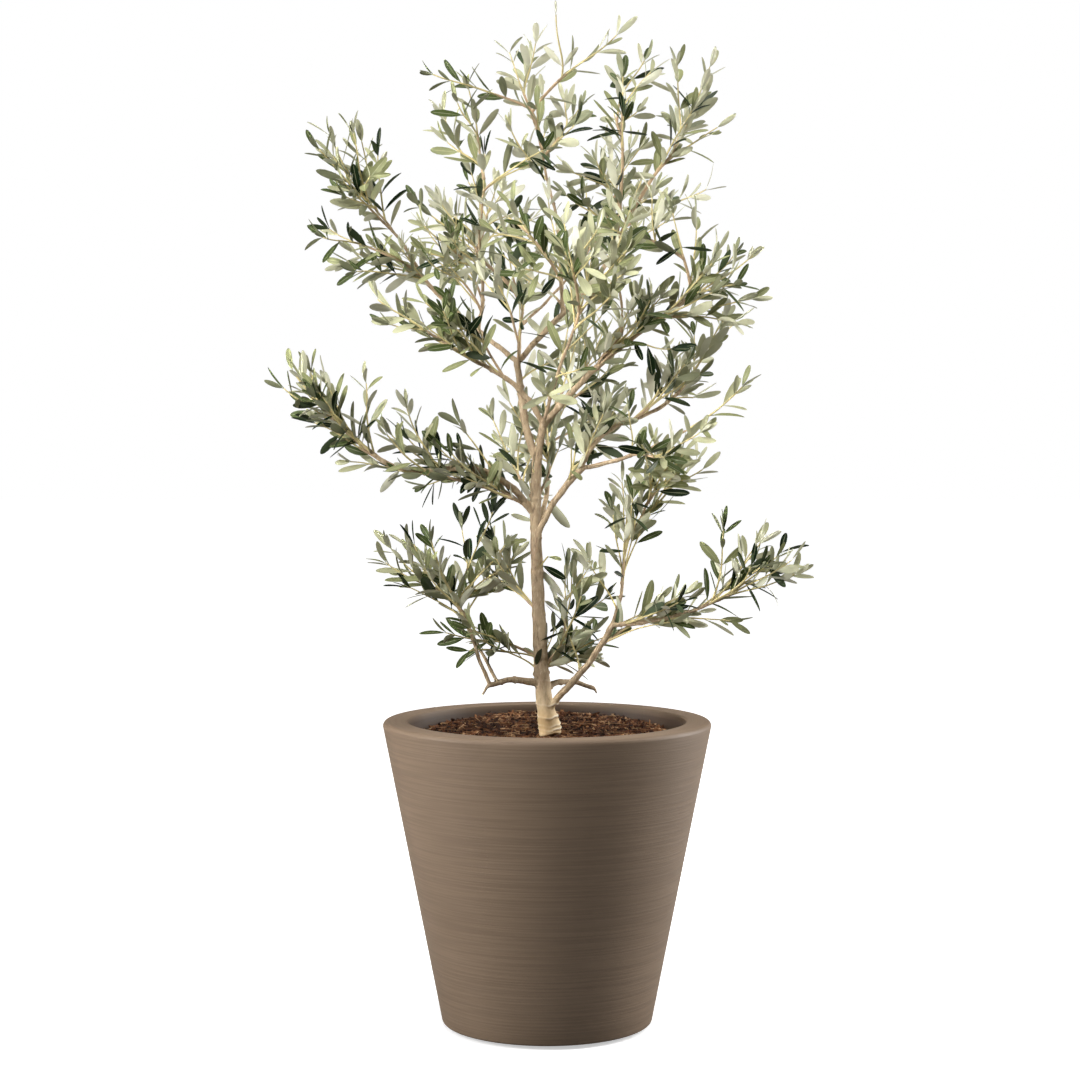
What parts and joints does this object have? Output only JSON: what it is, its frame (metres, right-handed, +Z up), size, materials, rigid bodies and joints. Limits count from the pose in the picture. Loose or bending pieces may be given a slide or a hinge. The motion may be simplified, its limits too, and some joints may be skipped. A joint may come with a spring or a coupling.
{
  "type": "potted olive tree",
  "caption": "Young olive tree with a slender trunk, open crown and narrow grey-green leaves, in a tapered round planter with soil.",
  "frame": {"origin": "centre of the flat underside of the pot", "axes": "+Z up along the pot's axis and the tree, +X to the right and -Y towards the viewer of its front"},
  "size_m": [0.8312, 0.5903, 1.542],
  "materials": {
    "pot": "matt, finely lined round its body",
    "soil": "loose dark bark compost",
    "bark": "matt greyish bark",
    "leaves": "soft, slightly waxy leaves"
  },
  "bodies": {
    "root": {"bough_back": "bark", "bough_back_right": "bark", "bough_cross_left": "bark", "bough_cross_right": "bark", "bough_crown_left": "bark", "bough_crown_right": "bark", "bough_far_left": "bark", "bough_front": "bark", "bough_leader": "bark", "bough_left": "bark", "bough_left_end": "bark", "bough_low_back": "bark", "bough_low_left": "bark", "bough_low_left_inner": "bark", "bough_low_left_rise": "bark", "bough_low_right": "bark", "bough_low_right_reach": "bark", "bough_low_right_rise": "bark", "bough_middle_back": "bark", "bough_middle_right": "bark", "bough_middle_right_lower": "bark", "bough_middle_right_upper": "bark", "bough_top_middle": "bark", "leaves_back_left": "leaves", "leaves_back_right": "leaves", "leaves_crown_left": "leaves", "leaves_crown_middle": "leaves", "leaves_crown_right": "leaves", "leaves_far_left": "leaves", "leaves_far_left_top": "leaves", "leaves_front": "leaves", "leaves_heart": "leaves", "leaves_left": "leaves", "leaves_left_end": "leaves", "leaves_left_inner": "leaves", "leaves_lone_leader": "leaves", "leaves_low_back": "leaves", "leaves_low_left": "leaves", "leaves_low_left_drop": "leaves", "leaves_low_left_inner": "leaves", "leaves_low_middle": "leaves", "leaves_low_right": "leaves", "leaves_low_right_end": "leaves", "leaves_lower_right": "leaves", "leaves_middle_back": "leaves", "leaves_middle_inner": "leaves", "leaves_middle_right": "leaves", "leaves_right_end": "leaves", "leaves_right_inner": "leaves", "leaves_right_rise": "leaves", "leaves_stem": "leaves", "leaves_top_middle": "leaves", "leaves_top_outer": "leaves", "leaves_top_right": "leaves", "leaves_under_left": "leaves", "pot": "pot", "soil": "soil", "stem_left": "bark", "stem_right": "bark", "trunk": "bark"}
  },
  "joints": []
}
